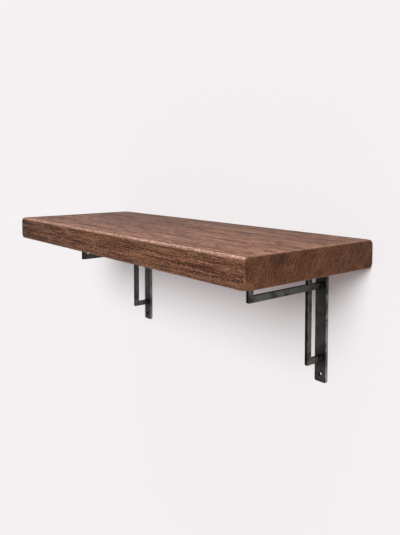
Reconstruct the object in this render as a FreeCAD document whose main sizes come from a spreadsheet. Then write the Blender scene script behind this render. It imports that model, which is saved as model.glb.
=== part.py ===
import FreeCAD, Part
import Sketcher
import os

# Bracket wall shelf: a thick plank on two welded flat-bar brackets.
# Frame in millimetres: X along the shelf, the wall is the plane Y = 0, the front faces -Y, Z is up.
# The origin is the middle of the plank's back face.

doc = FreeCAD.newDocument("bracket_wall_shelf")

# Driving dimensions
SIZES = [
    # plank
    ("plank_length", 609.6),
    ("plank_depth", 235.0),
    ("plank_thickness", 38.0),
    ("plank_arris", 3.0),
    # both brackets
    ("bracket_inset", 82.0),        # plank end to bracket centre line
    ("plate_width", 20.0),
    ("plate_thickness", 5.0),
    ("plate_corner", 2.5),          # rounded corners at the free end of plate and arm
    ("bar_depth", 9.5),
    ("bar_thickness", 4.8),
    ("bar_edge", 0.7),              # rolled edges of all flat bar
    ("bar_corner", 1.6),            # ground outer corners of the inner frame
    ("rail_offset", 31.0),          # plank underside to the top of the rail
    ("post_offset", 27.0),          # wall to the back of the post
    ("frame_reach", 152.0),         # wall to the front of the inner frame
    ("frame_drop", 147.5),          # plank underside to the foot of the inner frame
    ("tail", 30.5),                 # plate and arm run on past the inner frame
    ("bead_size", 2.4),             # leg of the fillet welds
    # screw holes
    ("wall_hole", 6.5),
    ("hole_margin", 11.5),          # end hole to the free end of plate or arm
    # wood screws that hold the plank on the arms
    ("screw_shank", 4.2),
    ("screw_clearance", 0.4),       # added to the shank for the hole in the arm
    ("screw_cover", 13.0),          # wood left above the screw
    ("screw_point", 5.0),
    ("screw_head", 8.4),
    ("screw_head_height", 2.8),
    ("screw_head_bevel", 1.0),
]

sheet = doc.addObject("Spreadsheet::Sheet", "sizes")
for row, (alias, value) in enumerate(SIZES, start=1):
    sheet.set(f"A{row}", alias)
    sheet.set(f"B{row}", str(value))
    sheet.setAlias(f"B{row}", alias)
doc.recompute()

# Heights and places that several pieces share, as expressions in the sheet's names
UNDERSIDE = "(-sizes.plank_thickness / 2)"
ARM_UNDERSIDE = f"({UNDERSIDE} - sizes.plate_thickness)"
RAIL_TOP = f"({UNDERSIDE} - sizes.rail_offset)"
FRAME_FOOT = f"({UNDERSIDE} - sizes.frame_drop)"
PLATE_LENGTH = "(sizes.frame_drop + sizes.tail - sizes.plate_thickness)"
PLATE_FOOT = f"({ARM_UNDERSIDE} - {PLATE_LENGTH})"
ARM_REACH = "(sizes.frame_reach + sizes.tail)"
BRACKET_X = "(sizes.plank_length / 2 - sizes.bracket_inset)"
SCREW_GRIP = "(sizes.plank_thickness - sizes.screw_cover)"
FRONT_SCREW_Y = f"(sizes.hole_margin - {ARM_REACH})"
BACK_SCREW_Y = "(-(sizes.post_offset + sizes.frame_reach) / 2)"
SIDES = {"left": f"(-{BRACKET_X})", "right": BRACKET_X}

X_AXIS = FreeCAD.Vector(1, 0, 0)
Y_AXIS = FreeCAD.Vector(0, 1, 0)
Z_AXIS = FreeCAD.Vector(0, 0, 1)


# Building helpers
def place(piece, x="0", y="0", z="0"):
    """Bind where a piece stands to the sheet."""
    for axis, expression in (("x", x), ("y", y), ("z", z)):
        piece.setExpression(f"Placement.Base.{axis}", expression)


def new_body(label):
    body = doc.addObject("PartDesign::Body", label)
    body.Label = label
    return body


def new_sketch(body, name, role):
    """A sketch on one of the body's own origin planes."""
    sketch = body.newObject("Sketcher::SketchObject", name)
    plane = next(item for item in body.Origin.OriginFeatures if item.Role == role)
    sketch.AttachmentSupport = [(plane, "")]
    sketch.MapMode = "FlatFace"
    return sketch


def drive(sketch, constraint, name, expression):
    """Add a named dimension that follows an expression."""
    index = sketch.addConstraint(constraint)
    sketch.renameConstraint(index, name)
    sketch.setExpression(f"Constraints.{name}", expression)


def outline(sketch, points):
    """A closed run of straight lines through rough start points, still free to be dimensioned."""
    corners = [FreeCAD.Vector(x, y, 0) for x, y in points]
    for start, end in zip(corners, corners[1:] + corners[:1]):
        sketch.addGeometry(Part.LineSegment(start, end), False)
    for line in range(len(corners)):
        sketch.addConstraint(Sketcher.Constraint("Coincident", line, 2, (line + 1) % len(corners), 1))


def rectangle(sketch, left, bottom, width, height):
    outline(sketch, [(0, 0), (10, 0), (10, 10), (0, 10)])
    for line, direction in enumerate(("Horizontal", "Vertical", "Horizontal", "Vertical")):
        sketch.addConstraint(Sketcher.Constraint(direction, line))
    drive(sketch, Sketcher.Constraint("DistanceX", -1, 1, 0, 1, 0.0), "left", left)
    drive(sketch, Sketcher.Constraint("DistanceY", -1, 1, 0, 1, 0.0), "bottom", bottom)
    drive(sketch, Sketcher.Constraint("DistanceX", 0, 1, 0, 2, 10.0), "width", width)
    drive(sketch, Sketcher.Constraint("DistanceY", 1, 1, 1, 2, 10.0), "height", height)


def bar_section(sketch, start="0"):
    """The inner frame's flat bar, on edge."""
    rectangle(sketch, "-sizes.bar_thickness / 2", start, "sizes.bar_thickness", "sizes.bar_depth")


def circle(sketch, name, x, y, diameter):
    ring = sketch.addGeometry(Part.Circle(FreeCAD.Vector(5, 5, 0), Z_AXIS, 3), False)
    drive(sketch, Sketcher.Constraint("DistanceX", -1, 1, ring, 3, 5.0), f"{name}_x", x)
    drive(sketch, Sketcher.Constraint("DistanceY", -1, 1, ring, 3, 5.0), f"{name}_y", y)
    drive(sketch, Sketcher.Constraint("Diameter", ring, 6.0), f"{name}_diameter", diameter)


def pad(body, sketch, length):
    feature = body.newObject("PartDesign::Pad", "Pad")
    feature.Profile = sketch
    feature.setExpression("Length", length)
    sketch.Visibility = False
    doc.recompute()
    return feature


def pocket(body, sketch, length, towards_normal=False):
    """Cut to a depth, against the sketch plane's normal unless asked; it has to take material away."""
    before = body.Shape.Volume
    feature = body.newObject("PartDesign::Pocket", "Pocket")
    feature.Profile = sketch
    feature.Reversed = towards_normal
    feature.setExpression("Length", length)
    sketch.Visibility = False
    doc.recompute()
    if body.Shape.Volume >= before:
        raise RuntimeError(f"{body.Label}: {sketch.Name} cuts nothing")
    return feature


def edges_along(shape, direction, chosen=lambda middle, box: True):
    """Names of the straight edges that run in a direction and whose middle is chosen."""
    names = []
    for index, edge in enumerate(shape.Edges, start=1):
        if not isinstance(edge.Curve, Part.Line):
            continue
        middle = edge.CenterOfMass
        if abs(edge.Curve.Direction.dot(direction)) > 0.999 and chosen(middle, shape.BoundBox):
            names.append(f"Edge{index}")
    return names


def rounded(body, base, edges, radius):
    feature = body.newObject("PartDesign::Fillet", "Fillet")
    feature.Base = (base, edges)
    feature.setExpression("Radius", radius)
    doc.recompute()
    return feature


# Plank: solid wood with eased arrises and blind pilot holes for the shelf screws
def shelf_plank():
    body = new_body("shelf_plank")
    section = new_sketch(body, "Section", "YZ_Plane")
    rectangle(section, "-sizes.plank_depth", UNDERSIDE, "sizes.plank_depth", "sizes.plank_thickness")
    board = pad(body, section, "sizes.plank_length")
    board.Midplane = True
    doc.recompute()
    every_edge = [f"Edge{index}" for index in range(1, len(board.Shape.Edges) + 1)]
    rounded(body, board, every_edge, "sizes.plank_arris")
    pilots = new_sketch(body, "Pilots", "XY_Plane")
    pilots.setExpression("AttachmentOffset.Base.z", UNDERSIDE)
    for side, x in SIDES.items():
        circle(pilots, f"{side}_front", x, FRONT_SCREW_Y, "sizes.screw_shank")
        circle(pilots, f"{side}_back", x, BACK_SCREW_Y, "sizes.screw_shank")
    pocket(body, pilots, SCREW_GRIP, towards_normal=True)
    return body


# Wall plate: upright flat bar against the wall, two screw holes, rounded lower corners
def wall_plate(side, x):
    body = new_body(f"{side}_wall_plate")
    section = new_sketch(body, "Section", "XY_Plane")
    rectangle(section, "-sizes.plate_width / 2", "-sizes.plate_thickness",
              "sizes.plate_width", "sizes.plate_thickness")
    bar = pad(body, section, PLATE_LENGTH)
    tip = edges_along(bar.Shape, Y_AXIS, lambda middle, box: middle.z < box.Center.z)
    bar = rounded(body, bar, tip, "sizes.plate_corner")
    front = edges_along(bar.Shape, Z_AXIS, lambda middle, box: middle.y < box.Center.y)
    rounded(body, bar, front, "sizes.bar_edge")
    holes = new_sketch(body, "Holes", "XZ_Plane")
    above_rail = f"{PLATE_LENGTH} - (sizes.rail_offset - sizes.plate_thickness) / 2"
    circle(holes, "lower", "0", "sizes.hole_margin", "sizes.wall_hole")
    circle(holes, "upper", "0", above_rail, "sizes.wall_hole")
    pocket(body, holes, "sizes.plate_thickness", towards_normal=True)
    place(body, x, "0", PLATE_FOOT)
    return body


# Shelf arm: flat bar under the plank, over the end of the wall plate
def shelf_arm(side, x):
    body = new_body(f"{side}_shelf_arm")
    section = new_sketch(body, "Section", "XZ_Plane")
    rectangle(section, "-sizes.plate_width / 2", "0", "sizes.plate_width", "sizes.plate_thickness")
    bar = pad(body, section, ARM_REACH)
    tip = edges_along(bar.Shape, Z_AXIS, lambda middle, box: middle.y < box.Center.y)
    bar = rounded(body, bar, tip, "sizes.plate_corner")
    lower = edges_along(bar.Shape, Y_AXIS, lambda middle, box: middle.z < box.Center.z)
    rounded(body, bar, lower, "sizes.bar_edge")
    holes = new_sketch(body, "Holes", "XY_Plane")
    for name, y in (("front", FRONT_SCREW_Y), ("back", BACK_SCREW_Y)):
        circle(holes, name, "0", y, "sizes.screw_shank + sizes.screw_clearance")
    pocket(body, holes, "sizes.plate_thickness", towards_normal=True)
    place(body, x, "0", ARM_UNDERSIDE)
    return body


# Rail: level bar of the inner frame; its left half is notched where the post crosses
def rail(side, x):
    body = new_body(f"{side}_rail")
    section = new_sketch(body, "Section", "XZ_Plane")
    bar_section(section)
    bar = pad(body, section, "sizes.frame_reach - sizes.plate_thickness")
    nose = edges_along(bar.Shape, X_AXIS,
                       lambda middle, box: middle.y < box.Center.y and middle.z < box.Center.z)
    bar = rounded(body, bar, nose, "sizes.bar_corner")
    rounded(body, bar, edges_along(bar.Shape, Y_AXIS), "sizes.bar_edge")
    lap = new_sketch(body, "Lap", "YZ_Plane")
    rectangle(lap, "sizes.plate_thickness - sizes.post_offset - sizes.bar_depth", "0",
              "sizes.bar_depth", "sizes.bar_depth")
    pocket(body, lap, "sizes.bar_thickness / 2")
    place(body, x, "-sizes.plate_thickness", f"{RAIL_TOP} - sizes.bar_depth")
    return body


# Post: upright bar of the inner frame; its right half is notched to take the rail
def post(side, x):
    body = new_body(f"{side}_post")
    section = new_sketch(body, "Section", "XY_Plane")
    bar_section(section, "-sizes.bar_depth")
    bar = pad(body, section, "sizes.frame_drop - sizes.plate_thickness")
    foot = edges_along(bar.Shape, X_AXIS,
                       lambda middle, box: middle.y < box.Center.y and middle.z < box.Center.z)
    bar = rounded(body, bar, foot, "sizes.bar_corner")
    rounded(body, bar, edges_along(bar.Shape, Z_AXIS), "sizes.bar_edge")
    lap = new_sketch(body, "Lap", "YZ_Plane")
    rectangle(lap, "-sizes.bar_depth", "sizes.frame_drop - sizes.rail_offset - sizes.bar_depth",
              "sizes.bar_depth", "sizes.bar_depth")
    pocket(body, lap, "sizes.bar_thickness / 2", towards_normal=True)
    place(body, x, "-sizes.post_offset", FRAME_FOOT)
    return body


# Front upright: short bar from the front of the rail up to the arm
def front_upright(side, x):
    body = new_body(f"{side}_front_upright")
    section = new_sketch(body, "Section", "XY_Plane")
    bar_section(section)
    bar = pad(body, section, "sizes.rail_offset - sizes.plate_thickness")
    rounded(body, bar, edges_along(bar.Shape, Z_AXIS), "sizes.bar_edge")
    place(body, x, "-sizes.frame_reach", RAIL_TOP)
    return body


# Lower stub: short bar from the foot of the post back to the wall plate
def lower_stub(side, x):
    body = new_body(f"{side}_lower_stub")
    section = new_sketch(body, "Section", "XZ_Plane")
    bar_section(section)
    bar = pad(body, section, "sizes.post_offset - sizes.plate_thickness")
    rounded(body, bar, edges_along(bar.Shape, Y_AXIS), "sizes.bar_edge")
    place(body, x, "-sizes.plate_thickness", FRAME_FOOT)
    return body


# Weld beads: convex quarter rounds in the inside corners
def bead(label, from_side, to_side, length, x, y, z):
    """One bead that fills the corner between two directions and runs along their cross product."""
    run = from_side.cross(to_side)
    piece = doc.addObject("Part::Cylinder", label)
    piece.Angle = 90
    piece.Placement.Rotation = FreeCAD.Rotation(from_side, to_side, run, "ZXY")
    piece.setExpression("Radius", "sizes.bead_size")
    piece.setExpression("Height", length)
    place(piece, x, y, z)
    return piece


def weld_beads(side, x):
    flat_run = "sizes.bar_depth - 2 * sizes.bar_edge"
    right_face = f"{x} + sizes.bar_thickness / 2"
    left_face = f"{x} - sizes.bar_thickness / 2"
    beads = [
        bead(f"{side}_corner_bead", -Y_AXIS, -Z_AXIS, "sizes.plate_width - 2 * sizes.bar_edge",
             f"{x} - sizes.plate_width / 2 + sizes.bar_edge", "-sizes.plate_thickness", ARM_UNDERSIDE),
    ]
    for name, foot in (("rail", f"{RAIL_TOP} - sizes.bar_depth"), ("stub", FRAME_FOOT)):
        z = f"{foot} + sizes.bar_edge"
        beads.append(bead(f"{side}_{name}_right_bead", -Y_AXIS, X_AXIS, flat_run,
                          right_face, "-sizes.plate_thickness", z))
        beads.append(bead(f"{side}_{name}_left_bead", -X_AXIS, -Y_AXIS, flat_run,
                          left_face, "-sizes.plate_thickness", z))
    for name, front in (("post", "-sizes.post_offset - sizes.bar_depth"), ("upright", "-sizes.frame_reach")):
        y = f"{front} + sizes.bar_edge"
        beads.append(bead(f"{side}_{name}_right_bead", X_AXIS, -Z_AXIS, flat_run,
                          right_face, y, ARM_UNDERSIDE))
        beads.append(bead(f"{side}_{name}_left_bead", -Z_AXIS, -X_AXIS, flat_run,
                          left_face, y, ARM_UNDERSIDE))
    return group(f"{side}_weld_beads", beads)


# Shelf screws: pan-head wood screws up through the arm, threads left plain
def shelf_screw(label, x, y):
    body = new_body(label)
    half = new_sketch(body, "HalfSection", "XZ_Plane")
    outline(half, [(0, -3), (4, -3), (4, 0), (2, 0), (2, 20), (0, 25)])
    for line in (0, 2):
        half.addConstraint(Sketcher.Constraint("Horizontal", line))
    for line in (1, 3, 5):
        half.addConstraint(Sketcher.Constraint("Vertical", line))
    half.addConstraint(Sketcher.Constraint("PointOnObject", 0, 1, -2))
    drive(half, Sketcher.Constraint("DistanceX", 0, 1, 0, 2, 4.0), "head_radius", "sizes.screw_head / 2")
    drive(half, Sketcher.Constraint("DistanceY", 1, 1, 1, 2, 3.0), "head_height", "sizes.screw_head_height")
    half.addConstraint(Sketcher.Constraint("PointOnObject", 2, 1, -1))
    drive(half, Sketcher.Constraint("DistanceX", -1, 1, 3, 1, 2.0), "shank_radius", "sizes.screw_shank / 2")
    drive(half, Sketcher.Constraint("DistanceY", 3, 1, 5, 1, 25.0), "full_length",
          f"sizes.plate_thickness + {SCREW_GRIP}")
    drive(half, Sketcher.Constraint("DistanceY", 4, 1, 4, 2, 5.0), "point_length", "sizes.screw_point")
    turned = body.newObject("PartDesign::Revolution", "Turned")
    turned.Profile = half
    turned.ReferenceAxis = (half, ["V_Axis"])
    turned.Angle = 360
    half.Visibility = False
    doc.recompute()
    rim = [f"Edge{index}" for index, edge in enumerate(turned.Shape.Edges, start=1)
           if isinstance(edge.Curve, Part.Circle)
           and edge.CenterOfMass.z < -sheet.screw_head_height / 2]
    bevel = body.newObject("PartDesign::Chamfer", "Bevel")
    bevel.Base = (turned, rim)
    bevel.setExpression("Size", "sizes.screw_head_bevel")
    doc.recompute()
    place(body, x, y, ARM_UNDERSIDE)
    return body


def shelf_screws(side, x):
    screws = [
        shelf_screw(f"{side}_front_screw", x, FRONT_SCREW_Y),
        shelf_screw(f"{side}_back_screw", x, BACK_SCREW_Y),
    ]
    return group(f"{side}_shelf_screws", screws)


def group(label, members):
    compound = doc.addObject("Part::Compound", label)
    compound.Label = label
    compound.Links = members
    doc.recompute()
    return compound


# The assembly
BRACKET_PIECES = (wall_plate, shelf_arm, rail, post, front_upright, lower_stub, weld_beads, shelf_screws)

nodes = [shelf_plank()]
for side_name, centre in SIDES.items():
    nodes.extend(make(side_name, centre) for make in BRACKET_PIECES)
doc.recompute()

# Nothing is written unless every feature built
failed = [item.Label for item in doc.Objects if {"Invalid", "Error"} & set(item.State)]
failed += [node.Label for node in nodes if node.Shape.isNull() or not node.Shape.isValid()]
if failed:
    raise RuntimeError("failed to build: " + ", ".join(failed))

os.makedirs("parts", exist_ok=True)
for node in nodes:
    node.Shape.exportStep(f"parts/{node.Label}.step")
    print(f"{node.Label}: {len(node.Shape.Solids)} solids, {node.Shape.Volume:.1f} mm3")
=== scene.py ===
import math

import bpy
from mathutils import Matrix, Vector, noise


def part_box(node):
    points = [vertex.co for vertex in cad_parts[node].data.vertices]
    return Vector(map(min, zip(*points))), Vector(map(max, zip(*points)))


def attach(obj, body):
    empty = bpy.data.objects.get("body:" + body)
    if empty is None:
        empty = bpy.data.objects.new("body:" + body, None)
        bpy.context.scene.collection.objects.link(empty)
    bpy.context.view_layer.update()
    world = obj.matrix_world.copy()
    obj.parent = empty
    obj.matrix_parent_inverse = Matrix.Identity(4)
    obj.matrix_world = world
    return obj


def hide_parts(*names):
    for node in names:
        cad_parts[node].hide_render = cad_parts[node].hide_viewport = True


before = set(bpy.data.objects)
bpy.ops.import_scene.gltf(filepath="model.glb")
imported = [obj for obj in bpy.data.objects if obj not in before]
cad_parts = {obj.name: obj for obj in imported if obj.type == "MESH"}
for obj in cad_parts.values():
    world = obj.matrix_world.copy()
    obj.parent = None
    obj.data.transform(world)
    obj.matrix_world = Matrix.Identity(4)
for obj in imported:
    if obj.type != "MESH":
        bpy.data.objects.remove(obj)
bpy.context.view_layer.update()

MM = 0.001
SIDES = ("left", "right")


def rgb(red, green, blue):
    return (red, green, blue, 1.0)


def box_mm(node):
    """The low and the high corner of a CAD node's box, in millimetres."""
    return [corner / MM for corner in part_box(node)]


def middle_z(node):
    low, high = box_mm(node)
    return (low.z + high.z) / 2


# Camera, in metres and degrees. The picture is 400 x 535 pixels.
CAMERA_PLACE = (0.7438, -0.6552, 0.1169)
CAMERA_YAW = 50.77
CAMERA_PITCH = -3.22
CAMERA_LENS = 38.43
CAMERA_SENSOR = 36.0
CAMERA_SHIFT_Y = -0.1303

# Light, as the radiance that a white card facing it would send back
KEY_TOWARD = (0.53, -1.0, 0.46)
KEY_LEVEL = 0.59
KEY_ANGLE = 24.0
BACKGROUND_TOWARD = (0.36, -1.0, 0.47)
BACKGROUND_LEVEL = 2.4
BACKGROUND_ANGLE = 30.0
TOP_TOWARD = (0.05, -0.08, 1.0)
TOP_LEVEL = 0.46
TOP_ANGLE = 40.0
ROOM_GLOW = rgb(0.54, 0.505, 0.497)
CEILING_GLOW = rgb(0.26, 0.245, 0.24)
WALL_GLOW = rgb(0.88, 0.87, 0.87)
CEILING_STARTS = (0.25, 0.8)
WALL_STARTS = (-0.2, 0.2)

# Stage, in metres
WALL_GAP = 0.0005
WALL_HALF_WIDTH = 4.0
WALL_HEIGHT = 2.6
FLOOR_Z = -1.2
FLOOR_HALF = 4.0
WALL_COLOUR = rgb(0.2385, 0.2435, 0.2455)
WALL_LIFT = rgb(0.175, 0.135, 0.14)
FLOOR_COLOUR = rgb(0.64, 0.63, 0.625)
NO_LIFT = rgb(0.0, 0.0, 0.0)

# Plank, in millimetres: the arrises, and the steps of the mesh on the faces and inside the arrises
LONG_ARRIS = 3.6
LOW_ARRIS = 2.2
END_ARRIS = 1.1
STEP_ALONG = 2.0
STEP_ACROSS = 3.0
STEP_THICK = 1.0
END_RIM = (0.0, 0.35, 0.7)
LONG_RIM = (0.0, 0.35, 0.7, 1.1, 1.9, 2.7)

# Relief of the plank: each noise's length along the grain, its width across it and its seed
FIBRE = (75.0, 2.1, 1.7)
TORN = (20.0, 1.5, 5.2)
BAND = (170.0, 10.0, 8.1)
TOP_FIBRE = (70.0, 3.4, 4.4)
TOP_TORN = (30.0, 2.4, 6.6)
END_SCRATCH = (40.0, 1.8, 3.3)

# Where the noise counts as torn grain, and how much more is torn at the right end than in the middle
TORN_FROM = 0.56
TOP_TORN_FROM = 0.6
TORN_GROWTH = 1.5

# Depth in millimetres that each noise cuts into the front, the top, the ends and the other faces
FRONT_FIBRE_DEPTH = 0.3
FRONT_TORN_DEPTH = 0.9
FRONT_BAND_DEPTH = 0.25
TOP_FIBRE_DEPTH = 0.14
TOP_TORN_DEPTH = 0.3
END_SCRATCH_DEPTH = 0.1
REST_FIBRE_DEPTH = 0.2
REST_BAND_DEPTH = 0.15
# How much the fibres and the torn grain count towards the painted shade in the grooves
GROOVE_FIBRE = 0.4
GROOVE_TORN = 1.8

# Worn arrises, and the pale band of wear and painted highlight along them: the square of their reach in
# millimetres, which on the long ones grows to the right
LONG_WEAR = 5.5
LEFT_WEAR_SHARE = 0.9
WEAR_GROWTH = 0.6
WEAR_GROWTH_SPEED = 1.5
END_WEAR = 1.2
CORNER_WEAR = 16.0
CORNER_DEPTH = 1.5
FRONT_SIDE_Y = -100.0

# Ragged edge of the wear and of the painted highlight on the arrises: length and width of its two noises,
# their seeds and how they are joined
RAGGED = (5.0, 2.4)
RAGGED_FINE = (2.2, 1.6)
RAGGED_SEED = 9.0
RAGGED_FINE_SEED = 1.0
SEED_STEP = 3.0
EDGE_SHIFT = 40.0
RAGGED_FINE_SHARE = 0.6
CHIP_FROM = 0.42
FRONT_CHIP = (0.1, 1.3)
OTHER_CHIP = (0.05, 0.35)
PALE_FROM = 0.4
PALE_LONG = (0.6, 1.4)
PALE_UPRIGHT = 2.6

# How pale the worn arrises are, partly bare wood and partly painted highlight: front upper one and its gain
# to the right, other upper ones, lower ones
FRONT_PALE = 1.0
FRONT_PALE_GROWTH = 0.35
UPPER_PALE = 0.34
LOWER_PALE = 0.15

# The tree's centre on the plank's section, the width of a year's growth and how far the rings wander
PITH_Y = -124.0
PITH_Z = -17.0
RING_WIDTH = 3.0
BEND_STEPS = (0.004, 0.012, 0.012)
BEND_DETAIL = 2.0
BEND_REACH = (0.0, 46.0, 34.0)
LATE_STARTS = (0.4, 0.86)
LATE_STOPS = (0.9, 1.0)

# Noises of the wood's colour: steps per millimetre along X, Y and Z, detail and roughness
WOOD_NOISES = {
    "sway": ((0.012, 0.06, 0.06), 2.0, 0.5),
    "long_grain": ((0.004, 0.2, 0.2), 5.0, 0.62),
    "fine_grain": ((0.012, 0.55, 0.55), 4.0, 0.7),
    "dashes": ((0.06, 0.5, 0.5), 4.0, 0.8),
    "grit": ((0.2, 0.95, 0.95), 3.0, 0.7),
    "fibres": ((0.02, 0.9, 0.9), 3.0, 0.65),
    "mottle": ((0.014, 0.17, 0.17), 4.0, 0.7),
    "flecks": ((0.034, 0.2, 0.2), 4.0, 0.8),
    "broad": ((0.006, 0.055, 0.055), 4.0, 0.65),
    "greying": ((0.009, 0.075, 0.075), 5.0, 0.66),
    "lines": ((0.028, 0.9, 0.9), 4.0, 0.74),
    "wave": ((0.008, 0.03, 0.03), 2.0, 0.5),
    "pores": ((0.12, 0.12, 0.12), 5.0, 0.6),
    "speckle": ((0.75, 0.42, 0.75), 3.0, 0.75),
    "patches": ((0.03, 0.03, 0.03), 3.0, 0.55),
    "specks": ((0.6, 0.6, 0.6), 3.0, 0.7),
}

# How strongly each noise shows in the tone of a face
FRONT_WEIGHTS = {"dashes": 1.0, "grit": 3.2, "fibres": 1.9}
LEFT_FRONT_WEIGHTS = {"dashes": 4.2, "flecks": 3.4}
TOP_WEIGHTS = {"mottle": 0.9, "flecks": 1.0, "dashes": 3.0, "fibres": 1.0}
SIDE_WEIGHTS = {"long_grain": 1.4, "fine_grain": 1.3}
END_WEIGHTS = {"pores": 0.5, "patches": 0.5, "scratches": 0.8, "speckle": 1.7}

# Share of rings and clouds in the tone, off the front and on it, and the middle of the rings
RING_SHARES = (-0.26, -0.1)
CLOUD_SHARES = (1.35, 0.9)
RING_MIDDLE = 0.35
END_RING_MIDDLE = 0.3

# Fades over the plank: axis, two places in millimetres and the value at each
LEFT_FRONT = (("X", -305.0, -40.0, 1.0, 0.0),)
TOP_CONTRAST = (("X", -305.0, 0.0, 1.5, 1.1),)
# How far the pale top and painted sheen turns from its left mix to its right one
PALE_TOP_AND_SHEEN_ALONG = (("X", 0.0, 250.0, 0.0, 1.0),)
LAYERS_ALONG = (("X", -305.0, -60.0, 0.42, 0.1),)
# Painted shade off the top: darker to the left and a little lighter to the right as painted light falloff;
# also darker towards the bottom, lighter just above the middle and darker above that
SIDE_SHADES = (
    ("X", -305.0, -110.0, 0.6, 1.0), ("X", 60.0, 300.0, 1.0, 1.07), ("Z", -17.0, -3.0, 0.8, 1.0),
    ("Z", 0.0, 4.0, 1.0, 1.1), ("Z", 5.0, 10.0, 1.0, 0.84),
)
# Painted light on the top: lighter to the right as painted light falloff, lighter towards the front as
# painted sheen, darker still near the back, a painted highlight along the front arris, and lighter along
# the right end
TOP_PAINTED_LIGHT = (
    ("X", -305.0, 60.0, 0.84, 1.0), ("Y", -225.0, -10.0, 1.16, 0.82), ("Y", -65.0, -15.0, 1.0, 0.91),
    ("Y", -234.0, -212.0, 1.2, 1.0), ("X", 282.0, 303.0, 1.0, 1.25),
)
# Painted shade on the ends: darker towards the back, by the wall
END_PAINTED_SHADE = (("Y", -170.0, -40.0, 1.0, 0.85),)

# Limits of the direction a face looks in, between not counting as top, front or end and counting fully
TOP_FACING = (0.4, 0.8)
FRONT_FACING = (-0.3, -0.7)
END_FACING = (0.3, 0.7)

# Wood colours: ramps from dark to pale, and what lies over them
SIDE_TONES = (
    (0.1, rgb(0.04, 0.0155, 0.009)),
    (0.5, rgb(0.148, 0.061, 0.032)),
    (0.9, rgb(0.3, 0.145, 0.084)),
)
END_TONES = (
    (0.15, rgb(0.04, 0.014, 0.006)),
    (0.5, rgb(0.089, 0.0318, 0.0137)),
    (0.85, rgb(0.2, 0.081, 0.038)),
)
GREY_WOOD = rgb(0.066, 0.041, 0.034)
GREY_PATCHES = (0.48, 0.66)
GREY_SHARE = 0.5
# The top made lighter and greyer: partly a paler top, partly painted sheen
PALE_TOP_AND_SHEEN_LEFT = rgb(1.13, 1.19, 1.37)
PALE_TOP_AND_SHEEN_RIGHT = rgb(1.19, 1.22, 1.31)
# Pale arrises: rubbed bare wood and painted highlight, and the specks that break them up
RUBBED_AND_LIT_WOOD = rgb(0.66, 0.41, 0.305)
RUBBED_AND_LIT_SPECKS = (0.38, 0.6, 0.25, 1.5)

# Dark grain of the front with painted shade in its grooves: grooves, thin lines, and layers of growth at an
# angle per millimetre of height
DARK_WOOD_AND_SHADE = rgb(0.03, 0.011, 0.006)
GROOVE_SHADE_SHARE = 0.2
LINE_SHARE = 0.5
LINE_LIMITS = (0.54, 0.64)
LAYER_TURN = 0.63
LAYER_WANDER = 5.0
LAYER_LIMITS = (0.1, 1.0)

# Saw scratches on the ends: their direction in Y and Z, steps per millimetre along and across, wander
CUT_Y = 0.57
CUT_Z = 0.82
SCRATCH_ALONG = 0.025
SCRATCH_ACROSS_Y = 0.4
SCRATCH_ACROSS_Z = 0.28
SCRATCH_WANDER = 3.0
SCRATCH_NOISE = (1.0, 3.0, 0.6)
SCORED_WOOD = rgb(0.2, 0.088, 0.042)
SCORED_SCRATCHES = (0.56, 0.68)
SCORED_PATCHES = (0.42, 0.58, 0.2, 0.75)
END_RING_PATCHES = (0.42, 0.6, 0.2, 0.36)
END_RING_REACH = (25.0, 75.0, 1.0, 0.7)

# Blotches on the ends: middle and half size in Y and Z, how the speckle breaks them up, colour
END_BLOTCHES = (
    ((-180.0, 12.0), (21.0, 6.5), (0.45, 0.58), rgb(0.02, 0.008, 0.005)),
    ((-229.0, -14.0), (9.0, 6.0), (0.35, 0.6, 0.3, 0.9), rgb(0.24, 0.125, 0.068)),
)
BLOTCH_SHARE = 0.5
BLOTCH_RAGGED = 0.8
BLOTCH_EDGE = (0.6, 1.5, 1.0, 0.0)

WOOD_ROUGHNESS = (0.3, 0.7, 0.8, 0.6)
WOOD_BUMP = 0.4
WOOD_SPECULAR = 0.15

# Steel of the plates and of the other bars: dark and light scale, bare metal with painted sheen, painted
# shade on the front faces
PLATE_LOOK = {
    "dark": rgb(0.05, 0.048, 0.045),
    "light": rgb(0.085, 0.082, 0.076),
    "bare_and_sheen": rgb(0.33, 0.325, 0.307),
    "front": 0.76,
}
BAR_LOOK = {
    "dark": rgb(0.02, 0.019, 0.018),
    "light": rgb(0.05, 0.048, 0.044),
    "bare_and_sheen": rgb(0.116, 0.118, 0.106),
    "front": 0.3,
}
STEEL_CLOUD = (0.07, 6.0, 0.62)
STEEL_FLECK = (0.32, 4.0, 0.7)
STEEL_LIGHT = (0.36, 0.64)
# Where a face counts as front for the painted shade
STEEL_SHADED_FRONT = (-0.6, -0.9)
STEEL_SIDE = (0.6, 0.9)
STEEL_ROUGHNESS = (0.3, 0.7, 0.36, 0.56)
STEEL_BUMP = 0.12

# Bare metal with painted sheen on the cut sides: where a bar's outside starts as shares of its half width,
# and its scale
OUTSIDE_STARTS = 0.5
OUTSIDE_FULL = 0.7
BARE_AND_SHEEN_FLECK = (0.25, 0.6)
BARE_AND_SHEEN_CLOUD = (0.37, 0.53, 0.3, 1.05)
BARE_AND_SHEEN_LEFT = 0.66

# Heat tint and painted shade round the welds on the plate, where the rail and the stub meet it: its fade in
# Y, away from the joint in Z and with the cloud, and its share on the cut sides
HEAT_AND_SHADE_COLOUR = rgb(0.022, 0.02, 0.021)
HEAT_AND_SHADE_Y = (-24.0, -9.0)
HEAT_AND_SHADE_Z = (4.0, 19.0, 1.0, 0.0)
HEAT_AND_SHADE_CLOUD = (0.2, 0.6, 0.5, 0.9)
RAIL_SIDE_HEAT_AND_SHADE = 0.0
STUB_SIDE_HEAT_AND_SHADE = 0.75

# Wall holes, in millimetres: the lower one's height over the plate's foot, the step up to the other
HOLE_MARGIN = 11.5
HOLE_SPACING = 148.5
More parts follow.
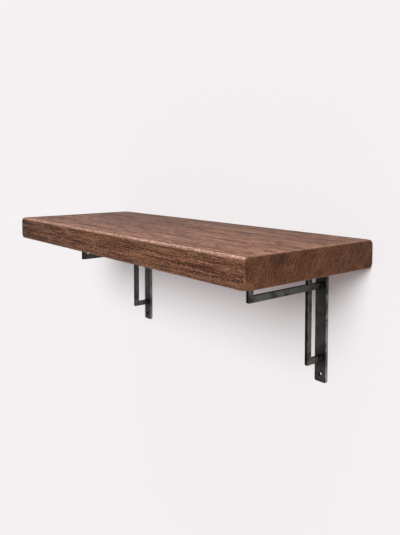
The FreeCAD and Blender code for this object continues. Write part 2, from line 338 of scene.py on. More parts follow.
# Painted shade inside the wall holes: its colour, the faces of the bore it lies on, and its reach in height
# from the hole's middle
BORE_SHADE_COLOUR = rgb(0.014, 0.013, 0.012)
BORE_SHADE_FACING = (0.3, 0.7, 1.0, 0.0)
BORE_SHADE_REACH = (4.0, 5.0, 1.0, 0.0)

# Weld beads, in millimetres. Valleys and ends are shares of the full size.
BEAD_SIZE = 2.4
BEAD_RIPPLE = 1.5
BEAD_SLANT = 0.35
BEAD_VALLEY = 0.84
BEAD_END_SHARE = 0.7
BEAD_END_SLOPE = 0.3
BEAD_ARC_STEPS = 6
BEAD_RUN_STEP = 0.3
BAR_EDGE = 0.7
BEAD_CLOUD = (0.35, 4.0, 0.6)
BEAD_FLECK = (2.2, 3.0, 0.6)
BEAD_TONES = (
    (0.3, rgb(0.012, 0.011, 0.011)),
    (0.5, rgb(0.024, 0.022, 0.021)),
    (0.7, rgb(0.052, 0.048, 0.043)),
)
BEAD_ROUGHNESS = (0.3, 0.7, 0.3, 0.5)
BEAD_BUMP = 0.1

# Shelf screws, in millimetres
SCREW_TURNS = 48
SCREW_RECESS_HALF_WIDTH = 0.55
SCREW_RECESS_REACH = 2.7
SCREW_RECESS_DEPTH = 1.3
SCREW_RECESS_RISE = 0.6
SCREW_HEAD_FLAT = 1.2
SCREW_HEAD_RIM = 0.6
SCREW_FLAT_STEPS = 3
SCREW_CROWN_STEPS = 9
SCREW_PLAIN = 6.0
SCREW_THREAD_GAP = 0.4
SCREW_SHANK = 2.1
SCREW_ROOT = 1.55
SCREW_PITCH = 1.8
SCREW_POINT = 5.0
SCREW_TIP_RADIUS = 0.25
SCREW_TIP_LENGTH = 0.4
SCREW_STRETCH = (1.0, 1.0, 5.0)
SCREW_FLECK = (0.8, 3.0, 0.6)
SCREW_TONES = (
    (0.3, rgb(0.05, 0.048, 0.045)),
    (0.7, rgb(0.16, 0.155, 0.15)),
)
SCREW_ROUGHNESS = (0.3, 0.7, 0.28, 0.45)
SCREW_BUMP = 0.06

# One thread of a screw: radius, and height as a share of the pitch
SCREW_THREAD = ((SCREW_ROOT, 0.0), (SCREW_ROOT, 0.45), (SCREW_SHANK, 0.7), (SCREW_SHANK, 0.8))

# Places from the CAD nodes, in millimetres. Both brackets stand equally far from X = 0.
PLATE_LOW, PLATE_HIGH = box_mm("right_wall_plate")
BRACKET_X = (PLATE_LOW.x + PLATE_HIGH.x) / 2
PLATE_HALF_WIDTH = PLATE_HIGH.x - BRACKET_X
BAR_HALF_WIDTH = box_mm("right_rail")[1].x - BRACKET_X
RAIL_Z = middle_z("right_rail")
STUB_Z = middle_z("right_lower_stub")
LOW_HOLE_Z = PLATE_LOW.z + HOLE_MARGIN
WALL_HOLES_Z = (LOW_HOLE_Z, LOW_HOLE_Z + HOLE_SPACING)


class Graph:
    """Adds shader nodes to a node tree and wires them in the same call."""

    def __init__(self, owner):
        owner.use_nodes = True
        self.tree = owner.node_tree
        self.tree.nodes.clear()

    def node(self, kind, inputs=None, **settings):
        made = self.tree.nodes.new(kind)
        for name, value in settings.items():
            setattr(made, name, value)
        for name, value in (inputs or {}).items():
            self.feed(made.inputs[name], value)
        return made

    def feed(self, socket, value):
        if isinstance(value, bpy.types.NodeSocket):
            self.tree.links.new(value, socket)
        else:
            socket.default_value = value

    def math(self, operation, first, second=0.0, clamp=False):
        made = self.node("ShaderNodeMath", operation=operation, use_clamp=clamp)
        self.feed(made.inputs[0], first)
        self.feed(made.inputs[1], second)
        return made.outputs["Value"]

    def plus(self, total, *others):
        for other in others:
            total = self.math("ADD", total, other)
        return total

    def times(self, total, *others):
        for other in others:
            total = self.math("MULTIPLY", total, other)
        return total

    def minus(self, first, second):
        return self.math("SUBTRACT", first, second)

    def size(self, value):
        return self.math("ABSOLUTE", value)

    def vector(self, operation, first, second):
        made = self.node("ShaderNodeVectorMath", operation=operation)
        self.feed(made.inputs[0], first)
        self.feed(made.inputs[1], second)
        return made.outputs["Value" if operation == "LENGTH" else "Vector"]

    def split(self, vector):
        return self.node("ShaderNodeSeparateXYZ", {"Vector": vector}).outputs

    def noise(self, vector, scale, detail, roughness=0.5, output="Fac"):
        inputs = {"Vector": vector, "Scale": scale, "Detail": detail, "Roughness": roughness}
        return self.node("ShaderNodeTexNoise", inputs).outputs[output]

    def fade(self, value, low, high, start=0.0, end=1.0):
        """A smooth step from start, where the value is low, to end, where it is high."""
        inputs = {"Value": value, "From Min": low, "From Max": high, "To Min": start, "To Max": end}
        made = self.node("ShaderNodeMapRange", inputs, interpolation_type="SMOOTHSTEP")
        return made.outputs["Result"]

    def choose(self, share, off, on):
        """A smooth step from off, where the share is nothing, to on, where it is one."""
        return self.fade(share, 0.0, 1.0, off, on)

    def mix(self, share, first, second, blend="MIX"):
        made = self.node("ShaderNodeMix", {"Factor": share}, data_type="RGBA", blend_type=blend)
        self.feed(made.inputs[6], first)
        self.feed(made.inputs[7], second)
        return made.outputs[2]

    def ramp(self, value, stops):
        made = self.node("ShaderNodeValToRGB", {"Fac": value})
        band = made.color_ramp.elements
        while len(band) < len(stops):
            band.new(0.5)
        for element, (place, colour) in zip(band, stops):
            element.position = place
            element.color = colour
        return made.outputs["Color"]

    def attribute(self, name):
        return self.node("ShaderNodeAttribute", attribute_name=name).outputs["Fac"]

    def facing(self):
        return self.split(self.node("ShaderNodeTexCoord").outputs["Normal"])

    def millimetres(self):
        place = self.node("ShaderNodeTexCoord").outputs["Object"]
        return self.vector("MULTIPLY", place, (1 / MM, 1 / MM, 1 / MM))

    def surface(self, colour, roughness, height, bump, metallic=0.0, specular=0.5):
        """The finished shader, with the height in millimetres as fine relief."""
        relief = self.node("ShaderNodeBump", {"Height": height, "Strength": bump, "Distance": MM})
        shader = self.node("ShaderNodeBsdfPrincipled", {
            "Base Color": colour, "Roughness": roughness, "Metallic": metallic,
            "Specular IOR Level": specular, "Normal": relief.outputs["Normal"],
        })
        self.node("ShaderNodeOutputMaterial", {"Surface": shader.outputs["BSDF"]})


def add_camera():
    data = bpy.data.cameras.new("photo_camera")
    data.lens = CAMERA_LENS
    data.sensor_width = CAMERA_SENSOR
    data.shift_y = CAMERA_SHIFT_Y
    camera = bpy.data.objects.new("photo_camera", data)
    camera.location = CAMERA_PLACE
    camera.rotation_euler = (math.radians(90 + CAMERA_PITCH), 0.0, math.radians(CAMERA_YAW))
    bpy.context.scene.collection.objects.link(camera)
    bpy.context.scene.camera = camera


def add_sun(name, toward, level, angle):
    data = bpy.data.lights.new(name, "SUN")
    data.energy = level * math.pi
    data.angle = math.radians(angle)
    lamp = bpy.data.objects.new(name, data)
    lamp.rotation_euler = Vector(toward).to_track_quat("Z", "Y").to_euler()
    bpy.context.scene.collection.objects.link(lamp)
    return lamp


def light_world():
    """A soft dome, bright on the wall's side and dimmer and warmer on the room's side."""
    world = bpy.data.worlds.new("studio")
    bpy.context.scene.world = world
    graph = Graph(world)
    direction = graph.split(graph.node("ShaderNodeTexCoord").outputs["Generated"])
    room = graph.mix(graph.fade(direction["Z"], *CEILING_STARTS), ROOM_GLOW, CEILING_GLOW)
    glow = graph.mix(graph.fade(direction["Y"], *WALL_STARTS), room, WALL_GLOW)
    sky = graph.node("ShaderNodeBackground", {"Color": glow, "Strength": 1.0})
    graph.node("ShaderNodeOutputWorld", {"Surface": sky.outputs["Background"]})


def add_plane(name, corners, material):
    """A stage plane that the camera and reflections see, with no bounced light and no shadow of its own."""
    mesh = bpy.data.meshes.new(name)
    mesh.from_pydata(corners, [], [(0, 1, 2, 3)])
    mesh.materials.append(material)
    plane = bpy.data.objects.new(name, mesh)
    plane.visible_diffuse = False
    plane.visible_shadow = False
    bpy.context.scene.collection.objects.link(plane)
    return plane


def stage_material(name, colour, lift):
    """Matt paint, lifted for the camera and in reflections alone, that is clear from behind."""
    material = bpy.data.materials.new(name)
    graph = Graph(material)
    matt = graph.node("ShaderNodeBsdfDiffuse", {"Color": colour})
    path = graph.node("ShaderNodeLightPath")
    seen = graph.math("MAXIMUM", path.outputs["Is Camera Ray"], path.outputs["Is Glossy Ray"])
    seen = graph.math("MAXIMUM", seen, path.outputs["Is Transmission Ray"])
    glow = graph.node("ShaderNodeEmission", {"Color": lift, "Strength": seen})
    paint = graph.node("ShaderNodeAddShader")
    graph.feed(paint.inputs[0], matt.outputs["BSDF"])
    graph.feed(paint.inputs[1], glow.outputs["Emission"])
    clear = graph.node("ShaderNodeBsdfTransparent")
    side = graph.node("ShaderNodeNewGeometry")
    mix = graph.node("ShaderNodeMixShader", {"Fac": side.outputs["Backfacing"]})
    graph.feed(mix.inputs[1], paint.outputs["Shader"])
    graph.feed(mix.inputs[2], clear.outputs["BSDF"])
    graph.node("ShaderNodeOutputMaterial", {"Surface": mix.outputs["Shader"]})
    return material


def add_stage(plank):
    """Wall and floor, with a lamp for the wall alone that only the plank shades."""
    wall_top = FLOOR_Z + WALL_HEIGHT
    wall_corners = [
        (-WALL_HALF_WIDTH, WALL_GAP, FLOOR_Z),
        (WALL_HALF_WIDTH, WALL_GAP, FLOOR_Z),
        (WALL_HALF_WIDTH, WALL_GAP, wall_top),
        (-WALL_HALF_WIDTH, WALL_GAP, wall_top),
    ]
    wall = add_plane("wall", wall_corners, stage_material("wall_paint", WALL_COLOUR, WALL_LIFT))
    lit = bpy.data.collections.new("background_lit")
    lit.objects.link(wall)
    shading = bpy.data.collections.new("background_shading")
    shading.objects.link(plank)
    background = add_sun("background", BACKGROUND_TOWARD, BACKGROUND_LEVEL, BACKGROUND_ANGLE)
    background.light_linking.receiver_collection = lit
    background.light_linking.blocker_collection = shading
    floor_corners = [
        (-FLOOR_HALF, -FLOOR_HALF, FLOOR_Z),
        (FLOOR_HALF, -FLOOR_HALF, FLOOR_Z),
        (FLOOR_HALF, FLOOR_HALF, FLOOR_Z),
        (-FLOOR_HALF, FLOOR_HALF, FLOOR_Z),
    ]
    add_plane("floor", floor_corners, stage_material("floor_paint", FLOOR_COLOUR, NO_LIFT))


class Wood(Graph):
    """Dark stained softwood, with growth rings about the pith and grain along X."""

    def __init__(self, owner):
        super().__init__(owner)
        self.place = self.millimetres()
        self.axis = self.split(self.place)
        normal = self.facing()
        self.top = self.fade(normal["Z"], *TOP_FACING)
        self.front = self.fade(normal["Y"], *FRONT_FACING)
        self.end = self.fade(self.size(normal["X"]), *END_FACING)
        self.grain = {name: self.stretched(*how) for name, how in WOOD_NOISES.items()}
        self.grain["scratches"] = self.scratches()
        self.radius, self.late = self.growth()

    def stretched(self, steps, detail, roughness):
        return self.noise(self.vector("MULTIPLY", self.place, steps), 1.0, detail, roughness)

    def weighted(self, total, weights):
        """The value plus each noise, about its middle of one half, times its weight."""
        for name, weight in weights.items():
            swing = self.times(self.minus(self.grain[name], 0.5), weight)
            total = self.plus(total, swing)
        return total

    def over_plank(self, fades):
        """The product of fades along the plank's axes."""
        return self.times(*(self.fade(self.axis[name], *limits) for name, *limits in fades))

    def scratches(self):
        """Noise drawn out along the saw's run over the ends."""
        y, z = self.axis["Y"], self.axis["Z"]
        along = self.times(self.plus(self.times(y, CUT_Y), self.times(z, CUT_Z)), SCRATCH_ALONG)
        across = self.minus(self.times(y, SCRATCH_ACROSS_Y), self.times(z, SCRATCH_ACROSS_Z))
        across = self.weighted(across, {"pores": SCRATCH_WANDER})
        run = self.node("ShaderNodeCombineXYZ", {"X": along, "Y": across})
        return self.noise(run.outputs["Vector"], *SCRATCH_NOISE)

    def growth(self):
        """The distance from the pith, and how much of the wood there is late growth."""
        steps = self.vector("MULTIPLY", self.place, BEND_STEPS)
        bend = self.noise(steps, 1.0, BEND_DETAIL, output="Color")
        bend = self.vector("MULTIPLY", self.vector("SUBTRACT", bend, (0.5, 0.5, 0.5)), BEND_REACH)
        grown = self.vector("ADD", self.vector("SUBTRACT", self.place, (0.0, PITH_Y, PITH_Z)), bend)
        section = self.vector("MULTIPLY", grown, (0.0, 1.0, 1.0))
        radius = self.vector("LENGTH", section, (0.0, 0.0, 0.0))
        years = self.plus(self.math("DIVIDE", radius, RING_WIDTH), self.grain["sway"])
        year = self.math("FRACT", years)
        return radius, self.minus(self.fade(year, *LATE_STARTS), self.fade(year, *LATE_STOPS))

    def side_tone(self):
        """The tone, about one half, of the faces along the grain."""
        ringed = self.times(self.minus(self.late, RING_MIDDLE), self.choose(self.front, *RING_SHARES))
        clouded = self.minus(self.grain["broad"], 0.5)
        clouded = self.times(clouded, self.choose(self.front, *CLOUD_SHARES))
        blotched = self.times(self.weighted(0.0, LEFT_FRONT_WEIGHTS), self.over_plank(LEFT_FRONT))
        coarse = self.plus(self.weighted(0.0, FRONT_WEIGHTS), blotched)
        streaked = self.times(self.weighted(0.0, TOP_WEIGHTS), self.over_plank(TOP_CONTRAST))
        rough = self.plus(self.times(coarse, self.front), self.times(streaked, self.top))
        tone = self.plus(self.plus(ringed, clouded), self.plus(rough, 0.5))
        return self.weighted(tone, SIDE_WEIGHTS)

    def dark_grain_and_groove_shade(self):
        """How dark the front is: painted shade in the grooves, and dark thin lines and layers of growth."""
        lines = self.fade(self.grain["lines"], *LINE_LIMITS)
        angle = self.plus(self.times(self.axis["Z"], LAYER_TURN),
                          self.times(self.grain["wave"], LAYER_WANDER))
        layers = self.fade(self.math("SINE", angle), *LAYER_LIMITS)
        layers = self.times(layers, self.over_plank(LAYERS_ALONG))
        # Painted shade in the grooves
        dark = self.plus(self.times(self.attribute("groove_shade"), GROOVE_SHADE_SHARE),
                         self.times(lines, LINE_SHARE), layers)
        return self.math("MULTIPLY", dark, self.front, clamp=True)

    def side_colour(self):
        colour = self.ramp(self.side_tone(), SIDE_TONES)
        greyed = self.times(self.fade(self.grain["greying"], *GREY_PATCHES), self.top, GREY_SHARE)
        colour = self.mix(greyed, colour, GREY_WOOD)
        # Painted sheen over the top's own paler colour
        pale_top_and_sheen = self.mix(self.over_plank(PALE_TOP_AND_SHEEN_ALONG), PALE_TOP_AND_SHEEN_LEFT, PALE_TOP_AND_SHEEN_RIGHT)
        colour = self.mix(self.top, colour, pale_top_and_sheen, "MULTIPLY")
        off_top = self.minus(1.0, self.top)
        # Painted light and shade on the top and off it
        painted_shading = self.plus(self.times(self.over_plank(TOP_PAINTED_LIGHT), self.top),
                          self.times(self.over_plank(SIDE_SHADES), off_top))
        colour = self.mix(1.0, colour, painted_shading, "MULTIPLY")
        return self.mix(self.dark_grain_and_groove_shade(), colour, DARK_WOOD_AND_SHADE)

    def blotch(self, middle, half_size):
        """One inside a ragged oval on the ends, nothing outside it."""
        across = self.math("DIVIDE", self.minus(self.axis["Y"], middle[0]), half_size[0])
        upward = self.math("DIVIDE", self.minus(self.axis["Z"], middle[1]), half_size[1])
        reach = self.plus(self.times(across, across), self.times(upward, upward))
        ragged = self.times(self.grain["pores"], BLOTCH_RAGGED)
        return self.fade(self.plus(reach, ragged), *BLOTCH_EDGE)

    def end_colour(self):
        patches = self.grain["patches"]
        shown = self.times(self.fade(patches, *END_RING_PATCHES),
                           self.fade(self.radius, *END_RING_REACH))
        ringed = self.times(self.minus(self.late, END_RING_MIDDLE), shown)
        colour = self.ramp(self.weighted(self.plus(ringed, 0.5), END_WEIGHTS), END_TONES)
        scored = self.times(self.fade(self.grain["scratches"], *SCORED_SCRATCHES),
                            self.fade(patches, *SCORED_PATCHES))
        colour = self.mix(scored, colour, SCORED_WOOD)
        for middle, half_size, broken, tint in END_BLOTCHES:
            spot = self.times(self.blotch(middle, half_size), self.fade(self.grain["speckle"], *broken))
            colour = self.mix(self.times(spot, BLOTCH_SHARE), colour, tint)
        # Painted shade towards the back of the ends
        return self.mix(1.0, colour, self.over_plank(END_PAINTED_SHADE), "MULTIPLY")


def wood_material():
    """Stained wood, pale along the arrises where they are rubbed bare and where a highlight is painted."""
    material = bpy.data.materials.new("stained_wood")
    wood = Wood(material)
    colour = wood.mix(wood.end, wood.side_colour(), wood.end_colour())
    specks = wood.fade(wood.grain["specks"], *RUBBED_AND_LIT_SPECKS)
    rubbed_and_lit = wood.math("MULTIPLY", wood.attribute("wear_and_highlight"), specks, clamp=True)
    colour = wood.mix(rubbed_and_lit, colour, RUBBED_AND_LIT_WOOD)
    fine = wood.grain["fine_grain"]
    wood.surface(colour, wood.fade(fine, *WOOD_ROUGHNESS), fine, WOOD_BUMP, specular=WOOD_SPECULAR)
    return material


def steel_material(name, look, half_width, holes=()):
    """Blackened bar stock, clouded with scale, with heat tint and painted shade round the welds, painted
    shade on its front faces and in its wall holes, and bare metal with painted sheen on its cut sides.
    """
    material = bpy.data.materials.new(name)
    graph = Graph(material)
    place = graph.millimetres()
    axis = graph.split(place)
    normal = graph.facing()
    cloud = graph.noise(place, *STEEL_CLOUD)
    fleck = graph.noise(place, *STEEL_FLECK)
    colour = graph.mix(graph.fade(cloud, *STEEL_LIGHT), look["dark"], look["light"])
    # Painted shade: the front faces darker than the rest
    front = graph.fade(normal["Y"], *STEEL_SHADED_FRONT, 1.0, look["front"])
    colour = graph.mix(1.0, colour, front, "MULTIPLY")

    # Bare metal and painted sheen on the cut sides, less on the left bracket
    off_middle = graph.size(graph.minus(graph.size(axis["X"]), BRACKET_X))
    outside = graph.fade(off_middle, OUTSIDE_STARTS * half_width, OUTSIDE_FULL * half_width)
    side = graph.times(graph.fade(graph.size(normal["X"]), *STEEL_SIDE), outside)
    bare_and_sheen = graph.times(graph.fade(fleck, *BARE_AND_SHEEN_FLECK), graph.fade(cloud, *BARE_AND_SHEEN_CLOUD))
    bare_and_sheen = graph.times(bare_and_sheen, graph.fade(axis["X"], -BRACKET_X, 0.0, BARE_AND_SHEEN_LEFT, 1.0))
    colour = graph.mix(graph.times(side, bare_and_sheen), colour, look["bare_and_sheen"])

    # Heat tint round the welds, and painted shade in the corners where the bars meet the plate
    by_plate = graph.fade(axis["Y"], *HEAT_AND_SHADE_Y)
    for joint_z, side_heat_and_shade in ((RAIL_Z, RAIL_SIDE_HEAT_AND_SHADE), (STUB_Z, STUB_SIDE_HEAT_AND_SHADE)):
        away = graph.size(graph.minus(axis["Z"], joint_z))
        heat_and_shade = graph.times(graph.fade(away, *HEAT_AND_SHADE_Z), by_plate, graph.fade(cloud, *HEAT_AND_SHADE_CLOUD),
                           graph.choose(side, 1.0, side_heat_and_shade))
        colour = graph.mix(heat_and_shade, colour, HEAT_AND_SHADE_COLOUR)

    # Painted shade on the walls of the wall holes
    bore_shade = graph.times(graph.fade(graph.size(normal["Y"]), *BORE_SHADE_FACING), graph.minus(1.0, outside))
    for hole_z in holes:
        away = graph.size(graph.minus(axis["Z"], hole_z))
        colour = graph.mix(graph.times(graph.fade(away, *BORE_SHADE_REACH), bore_shade), colour, BORE_SHADE_COLOUR)
    graph.surface(colour, graph.fade(fleck, *STEEL_ROUGHNESS), fleck, STEEL_BUMP, metallic=1.0)
    return material


def bead_material():
    """Dark weld metal with a fine grit."""
    material = bpy.data.materials.new("weld_metal")
    graph = Graph(material)
    place = graph.millimetres()
    colour = graph.ramp(graph.noise(place, *BEAD_CLOUD), BEAD_TONES)
    fleck = graph.noise(place, *BEAD_FLECK)
    graph.surface(colour, graph.fade(fleck, *BEAD_ROUGHNESS), fleck, BEAD_BUMP, metallic=1.0)
    return material


def screw_material():
    """Black screw steel, flecked in thin rings."""
    material = bpy.data.materials.new("screw_steel")
    graph = Graph(material)
    fleck = graph.noise(graph.vector("MULTIPLY", graph.millimetres(), SCREW_STRETCH), *SCREW_FLECK)
    colour = graph.ramp(fleck, SCREW_TONES)
    graph.surface(colour, graph.fade(fleck, *SCREW_ROUGHNESS), fleck, SCREW_BUMP, metallic=1.0)
    return material


def add_piece(name, points, faces, material, node, values=None):
    """A smooth mesh piece in millimetres that stands for one CAD node."""
    mesh = bpy.data.meshes.new(name)
    mesh.from_pydata([Vector(point) * MM for point in points], [], faces)
    for label, numbers in (values or {}).items():
        mesh.attributes.new(label, "FLOAT", "POINT").data.foreach_set("value", numbers)
    mesh.shade_smooth()
    mesh.materials.append(material)
    piece = bpy.data.objects.new(name, mesh)
    bpy.context.scene.collection.objects.link(piece)
    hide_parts(node)
    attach(piece, "root")
    return piece


def joined(meshes):
    """The points and faces of several meshes as one."""
    points, faces = [], []
    for more_points, more_faces in meshes:
        faces += [tuple(index + len(points) for index in face) for face in more_faces]
        points += more_points
    return points, faces


def stations(low, high, step, arris, rim):
    """Places from low to high, close together inside the arris at each end."""
    length = high - low - 2 * arris
    spans = round(length / step)
    flat = [low + arris + length * index / spans for index in range(spans + 1)]
    return [low + gap for gap in rim] + flat + [high - gap for gap in reversed(rim)]


def box_skin(places):
    """The points and faces of a box's skin, on the given stations along its three axes."""
    counts = [len(line) for line in places]
    index = {}
    points = []

    def corner(key):
        if key not in index:
            index[key] = len(points)
            points.append(tuple(line[step] for line, step in zip(places, key)))
        return index[key]

    faces = []
    for axis in range(3):
        across, up = (axis + 1) % 3, (axis + 2) % 3
        for far in (0, counts[axis] - 1):
            for i in range(counts[across] - 1):
                for j in range(counts[up] - 1):
                    ring = []
                    for di, dj in ((0, 0), (1, 0), (1, 1), (0, 1)):
                        key = [0, 0, 0]
                        key[axis], key[across], key[up] = far, i + di, j + dj
                        ring.append(corner(tuple(key)))
                    faces.append(ring if far else ring[::-1])
    return points, faces


def on_arc(first, second):
    """Moves a point from the square round the origin to the circle with the same reach."""
    length = math.hypot(first, second)
    reach = max(abs(first), abs(second))
    return (first * reach / length, second * reach / length) if length else (0.0, 0.0)


def rounded(sharp, low, high):
    """A point of the sharp box on the rounded plank, and the direction it faces there."""
    x, y, z = sharp
    arris = LONG_ARRIS if z > 0.0 else LOW_ARRIS
    core_y = min(max(y, low.y + arris), high.y - arris)
    core_z = min(max(z, low.z + arris), high.z - arris)
    off_y, off_z = on_arc(y - core_y, z - core_z)
    reach = math.hypot(off_y, off_z)
    out = Vector((0.0, off_y, off_z)).normalized()
    end = Vector((1.0 if x > 0.0 else -1.0, 0.0, 0.0))
    gap = min(x - low.x, high.x - x)
    ahead, aside = on_arc(max(0.0, END_ARRIS - gap), max(0.0, END_ARRIS - arris + reach))
    skin = Vector((x, core_y, core_z))
    if gap < END_ARRIS:
        skin.x += end.x * (gap - END_ARRIS + ahead)
    skin += out * (arris - END_ARRIS + aside if aside else reach)
    return skin, (end * ahead + out * aside).normalized()


def clamped(value):
    return min(1.0, max(0.0, value))


def drawn_noise(place, length, width, seed):
    """Smooth noise from 0 to 1, drawn out along the first axis."""
    along, across, up = place
    return 0.5 + 0.5 * noise.noise((along / length, across / width + seed, up / width - seed))


def sawn_relief(point, facing, near):
    """How deep the sawn surface lies at a point of the faces, and how much painted shade its grooves get
    there.
    """
    front = max(0.0, -facing.y) ** 2
    top = max(0.0, facing.z) ** 2
    end = facing.x ** 2
    rest = max(0.0, 1.0 - front - top - end)

    fibre = drawn_noise(point, *FIBRE) ** 2
    torn = max(0.0, drawn_noise(point, *TORN) - TORN_FROM) * (1.0 + TORN_GROWTH * near)
    band = drawn_noise(point, *BAND)
    top_torn = max(0.0, drawn_noise(point, *TOP_TORN) - TOP_TORN_FROM)
    along_cut = CUT_Y * point.y + CUT_Z * point.z
    across_cut = CUT_Z * point.y - CUT_Y * point.z
    scratch = drawn_noise((along_cut, across_cut, 0.0), *END_SCRATCH)
    groove_shade = front * min(1.0, GROOVE_FIBRE * fibre + GROOVE_TORN * torn)
    depth = front * (FRONT_FIBRE_DEPTH * fibre + FRONT_TORN_DEPTH * torn + FRONT_BAND_DEPTH * band)
    depth += top * (TOP_FIBRE_DEPTH * drawn_noise(point, *TOP_FIBRE) + TOP_TORN_DEPTH * top_torn)
    depth += end * END_SCRATCH_DEPTH * scratch
    depth += rest * (REST_FIBRE_DEPTH * fibre + REST_BAND_DEPTH * band)
    return depth, groove_shade


def arris_wear_and_highlight(point, gaps, along, long_reach, near):
    """How deep the arrises along one axis are worn at a point, and how pale they are there with bare wood
    and painted highlight.
    """
    first, second = (axis for axis in range(3) if axis != along)
    edge = math.exp(-(gaps[first] ** 2 + gaps[second] ** 2) / (END_WEAR if along else long_reach))
    place = (point[along] + EDGE_SHIFT * first, gaps[first], gaps[second])
    ragged = drawn_noise(place, *RAGGED, RAGGED_SEED + SEED_STEP * along)
    fine = drawn_noise(place, *RAGGED_FINE, RAGGED_FINE_SEED + SEED_STEP * along)
    ragged += RAGGED_FINE_SHARE * (fine - 0.5)

    upper = point.z > 0.0
    on_front = along == 0 and point.y < FRONT_SIDE_Y
    plain, chipped = FRONT_CHIP if on_front else OTHER_CHIP
    depth = edge * (plain + chipped * max(0.0, ragged - CHIP_FROM))
    if along < 2:
        paleness = PALE_LONG[0] + PALE_LONG[1] * (ragged - PALE_FROM)
    else:
        paleness = max(0.0, PALE_UPRIGHT * (ragged - PALE_FROM))
    # Wear and painted highlight: the front upper arris palest and paler to the right, the lower arrises
    # least
    if on_front and upper:
        share = FRONT_PALE + FRONT_PALE_GROWTH * near
    elif upper or along == 2:
        share = UPPER_PALE
    else:
        share = LOWER_PALE
    return depth, share * edge * paleness


def plank_relief(point, facing, low, high):
    """How deep the worn surface lies at a point, how much painted shade its grooves get there, and how pale
    it is with bare wood and painted highlight.
    """
    near = clamped(point.x / high.x)
    near_middle = clamped(WEAR_GROWTH_SPEED * (point.x - low.x) / (high.x - low.x))
    long_reach = LONG_WEAR * (LEFT_WEAR_SHARE + WEAR_GROWTH * near_middle)
    gaps = [min(place - least, most - place) for place, least, most in zip(point, low, high)]
    depth, groove_shade = sawn_relief(point, facing, near)
    wear_and_highlight = 0.0
    for along in (2, 1, 0):
        worn_depth, worn_and_lit = arris_wear_and_highlight(point, gaps, along, long_reach, near)
        depth += worn_depth
        wear_and_highlight = max(wear_and_highlight, worn_and_lit)
    depth += CORNER_DEPTH * math.exp(-sum(gap ** 2 for gap in gaps) / CORNER_WEAR)
    return depth, groove_shade, wear_and_highlight


def add_plank():
    low, high = box_mm("shelf_plank")
    places = [
        stations(low.x, high.x, STEP_ALONG, END_ARRIS, END_RIM),
        stations(low.y, high.y, STEP_ACROSS, LONG_ARRIS, LONG_RIM),
        stations(low.z, high.z, STEP_THICK, LONG_ARRIS, LONG_RIM),
    ]
    points, faces = box_skin(places)
    carved, groove_shades, wear_and_highlights = [], [], []
    for sharp in points:
        skin, facing = rounded(sharp, low, high)
        depth, groove_shade, wear_and_highlight = plank_relief(skin, facing, low, high)
        carved.append(skin - facing * depth)
        groove_shades.append(groove_shade)
        wear_and_highlights.append(wear_and_highlight)
    return add_piece("plank", carved, faces, wood_material(), "shelf_plank",
                     {"groove_shade": groove_shades, "wear_and_highlight": wear_and_highlights})


def bead_mesh(start, from_side, to_side, length):
    """A rippled quarter-round bead in the corner between two directions."""
    run = from_side.cross(to_side)
    steps = round(length / BEAD_RUN_STEP)
    ring = BEAD_ARC_STEPS + 2
    points, faces = [], []
    for step in range(steps + 1):
        along = length * step / steps
        root = start + run * along
        taper = min(1.0, BEAD_END_SHARE + BEAD_END_SLOPE * min(along, length - along))
        points.append(root)
        for turn in range(BEAD_ARC_STEPS + 1):
            angle = math.pi / 2 * turn / BEAD_ARC_STEPS
            phase = (along / BEAD_RIPPLE + BEAD_SLANT * math.sin(2 * angle)) % 1.0
            crest = math.sqrt(1.0 - (2.0 * phase - 1.0) ** 2)
            size = BEAD_SIZE * taper * (BEAD_VALLEY + (1.0 - BEAD_VALLEY) * crest)
            points.append(root + (from_side * math.cos(angle) + to_side * math.sin(angle)) * size)
    for step in range(steps):
        here, there = step * ring, (step + 1) * ring
        for turn in range(ring):
            following = (turn + 1) % ring
            faces.append((here + turn, here + following, there + following, there + turn))
    faces.append(tuple(range(ring))[::-1])
    faces.append(tuple(steps * ring + turn for turn in range(ring)))
    return points, faces


def add_beads(side, material):
    """The nine beads of one bracket, on the corners where its bars meet."""
    plate_low, plate_high = box_mm(f"{side}_wall_plate")
    across, out, up = Vector((1, 0, 0)), Vector((0, -1, 0)), Vector((0, 0, 1))
    plate_face = plate_low.y
    arm_underside = plate_high.z
    arm_seat = Vector((plate_low.x + BAR_EDGE, plate_face, arm_underside))
    seats = [(arm_seat, out, -up, plate_high.x - plate_low.x - 2 * BAR_EDGE)]
    for name in ("rail", "lower_stub"):
        low, high = box_mm(f"{side}_{name}")
        run = high.z - low.z - 2 * BAR_EDGE
        seats.append((Vector((high.x, plate_face, low.z + BAR_EDGE)), out, across, run))
        seats.append((Vector((low.x, plate_face, low.z + BAR_EDGE)), -across, out, run))
    for name in ("post", "front_upright"):
        low, high = box_mm(f"{side}_{name}")
        run = high.y - low.y - 2 * BAR_EDGE
        seats.append((Vector((high.x, low.y + BAR_EDGE, arm_underside)), across, -up, run))
        seats.append((Vector((low.x, low.y + BAR_EDGE, arm_underside)), -up, -across, run))
    points, faces = joined(bead_mesh(*seat) for seat in seats)
    add_piece(f"{side}_weld_ripples", points, faces, material, f"{side}_weld_beads")


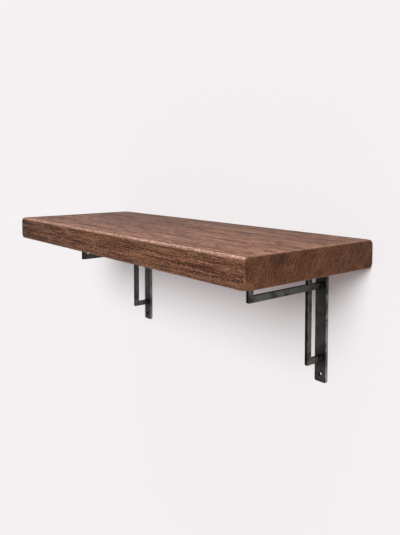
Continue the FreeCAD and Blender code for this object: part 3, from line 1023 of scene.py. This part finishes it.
def screw_profile(length, head_radius, head_height):
    """Radius and height of a pan-head screw from the middle of its head to its point."""
    profile = [(SCREW_HEAD_FLAT * step / SCREW_FLAT_STEPS, -head_height)
               for step in range(1, SCREW_FLAT_STEPS)]
    for step in range(SCREW_CROWN_STEPS + 1):
        angle = math.pi / 2 * step / SCREW_CROWN_STEPS
        profile.append((SCREW_HEAD_FLAT + (head_radius - SCREW_HEAD_FLAT) * math.sin(angle),
                        -SCREW_HEAD_RIM - (head_height - SCREW_HEAD_RIM) * math.cos(angle)))
    profile += [(head_radius, 0.0), (SCREW_SHANK, 0.0), (SCREW_SHANK, SCREW_PLAIN)]
    height = SCREW_PLAIN + SCREW_THREAD_GAP
    while height + SCREW_PITCH < length - SCREW_POINT:
        profile += [(radius, height + share * SCREW_PITCH) for radius, share in SCREW_THREAD]
        height += SCREW_PITCH
    profile += [(SCREW_ROOT, length - SCREW_POINT), (SCREW_TIP_RADIUS, length - SCREW_TIP_LENGTH)]
    return profile


def recess(radius, angle):
    """Depth of the cross recess in the head's face."""
    beside = radius * min(abs(math.sin(angle)), abs(math.cos(angle)))
    if beside > SCREW_RECESS_HALF_WIDTH or radius > SCREW_RECESS_REACH:
        return 0.0
    return SCREW_RECESS_DEPTH * (1.0 - SCREW_RECESS_RISE * radius / SCREW_RECESS_REACH)


def screw_mesh(seat, length, head_radius, head_height):
    """A screw whose head hangs below its seat and whose shank stands up from it."""
    profile = screw_profile(length, head_radius, head_height)
    points = [seat + Vector((0.0, 0.0, SCREW_RECESS_DEPTH - head_height))]
    for radius, height in profile:
        for turn in range(SCREW_TURNS):
            angle = 2 * math.pi * turn / SCREW_TURNS
            dip = recess(radius, angle) if height < -SCREW_HEAD_RIM else 0.0
            off_axis = (radius * math.cos(angle), radius * math.sin(angle), height + dip)
            points.append(seat + Vector(off_axis))
    tip = len(points)
    points.append(seat + Vector((0.0, 0.0, length)))
    last = tip - SCREW_TURNS
    faces = []
    for turn in range(SCREW_TURNS):
        following = (turn + 1) % SCREW_TURNS
        faces.append((0, 1 + following, 1 + turn))
        for ring in range(len(profile) - 1):
            here = 1 + ring * SCREW_TURNS
            there = here + SCREW_TURNS
            faces.append((here + turn, here + following, there + following, there + turn))
        faces.append((last + turn, last + following, tip))
    return points, faces


def add_screws(side, material):
    """The two screws of one bracket, with their heads under the arm."""
    low, high = box_mm(f"{side}_shelf_screws")
    head_radius = (high.x - low.x) / 2
    arm_underside = box_mm(f"{side}_wall_plate")[1].z
    seats = [Vector((low.x + head_radius, y, arm_underside))
             for y in (low.y + head_radius, high.y - head_radius)]
    points, faces = joined(screw_mesh(seat, high.z - arm_underside, head_radius, arm_underside - low.z)
                           for seat in seats)
    add_piece(f"{side}_pan_screws", points, faces, material, f"{side}_shelf_screws")


bpy.context.scene.view_settings.view_transform = "Standard"
add_camera()
light_world()
add_sun("key", KEY_TOWARD, KEY_LEVEL, KEY_ANGLE)
add_sun("top", TOP_TOWARD, TOP_LEVEL, TOP_ANGLE)
add_stage(add_plank())

PLATE_STEEL = steel_material("plate_steel", PLATE_LOOK, PLATE_HALF_WIDTH, WALL_HOLES_Z)
BAR_STEEL = steel_material("bar_steel", BAR_LOOK, BAR_HALF_WIDTH)
BEAD_METAL = bead_material()
SCREW_METAL = screw_material()
STEEL_NODES = {
    "wall_plate": PLATE_STEEL, "shelf_arm": BAR_STEEL, "rail": BAR_STEEL, "post": BAR_STEEL,
    "front_upright": BAR_STEEL, "lower_stub": BAR_STEEL,
}
for side_name in SIDES:
    for part, steel in STEEL_NODES.items():
        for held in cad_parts[f"{side_name}_{part}"].material_slots:
            held.material = steel
    add_beads(side_name, BEAD_METAL)
    add_screws(side_name, SCREW_METAL)
